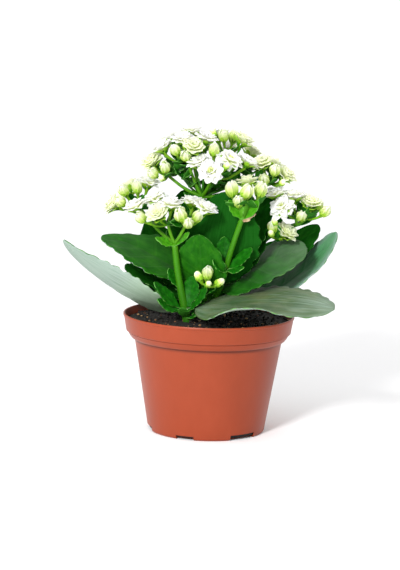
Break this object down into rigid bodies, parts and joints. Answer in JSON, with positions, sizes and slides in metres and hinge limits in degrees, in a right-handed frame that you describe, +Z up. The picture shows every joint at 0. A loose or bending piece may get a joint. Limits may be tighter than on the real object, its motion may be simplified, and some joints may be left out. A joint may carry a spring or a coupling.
{
  "type": "potted kalanchoe",
  "caption": "Succulent houseplant with broad scalloped leaves and dense sprays of small double white flowers, in a round tapered plastic nursery pot with a banded rim.",
  "frame": {"origin": "centre of the pot's foot, on the surface that it stands on", "axes": "+Z up along the pot's axis, -Y towards the picture's viewer, +X to the viewer's right"},
  "size_m": [0.1924, 0.1574, 0.214],
  "materials": {
    "pot": "satin terracotta-coloured plastic",
    "soil": null,
    "stem": null,
    "leaf": null,
    "petal": null
  },
  "bodies": {
    "root": {"bud_shoot": "stem", "front_blooms_1": "petal", "front_shoot": "stem", "leaf_back_left": "leaf", "leaf_back_right": "leaf", "leaf_back_upright": "leaf", "leaf_front_upright": "leaf", "leaf_left_back": "leaf", "leaf_left_dark": "leaf", "leaf_left_high": "leaf", "leaf_left_low": "leaf", "leaf_middle_upright": "leaf", "leaf_right_back": "leaf", "leaf_right_behind": "leaf", "leaf_right_cupped": "leaf", "leaf_right_front": "leaf", "leaf_right_inner": "leaf", "leaf_right_wide": "leaf", "left_blooms_1": "petal", "left_blooms_2": "petal", "left_blooms_3": "petal", "left_blooms_4": "petal", "left_blooms_5": "petal", "left_blooms_6": "petal", "left_shoot": "stem", "main_stem": "stem", "middle_blooms_1": "petal", "middle_blooms_10": "petal", "middle_blooms_11": "petal", "middle_blooms_12": "petal", "middle_blooms_13": "petal", "middle_blooms_14": "petal", "middle_blooms_15": "petal", "middle_blooms_16": "petal", "middle_blooms_17": "petal", "middle_blooms_2": "petal", "middle_blooms_3": "petal", "middle_blooms_4": "petal", "middle_blooms_5": "petal", "middle_blooms_6": "petal", "middle_blooms_7": "petal", "middle_blooms_8": "petal", "middle_blooms_9": "petal", "pot": "pot", "right_blooms_1": "petal", "right_blooms_2": "petal", "right_blooms_3": "petal", "right_shoot": "stem", "soil": "soil"}
  },
  "joints": []
}
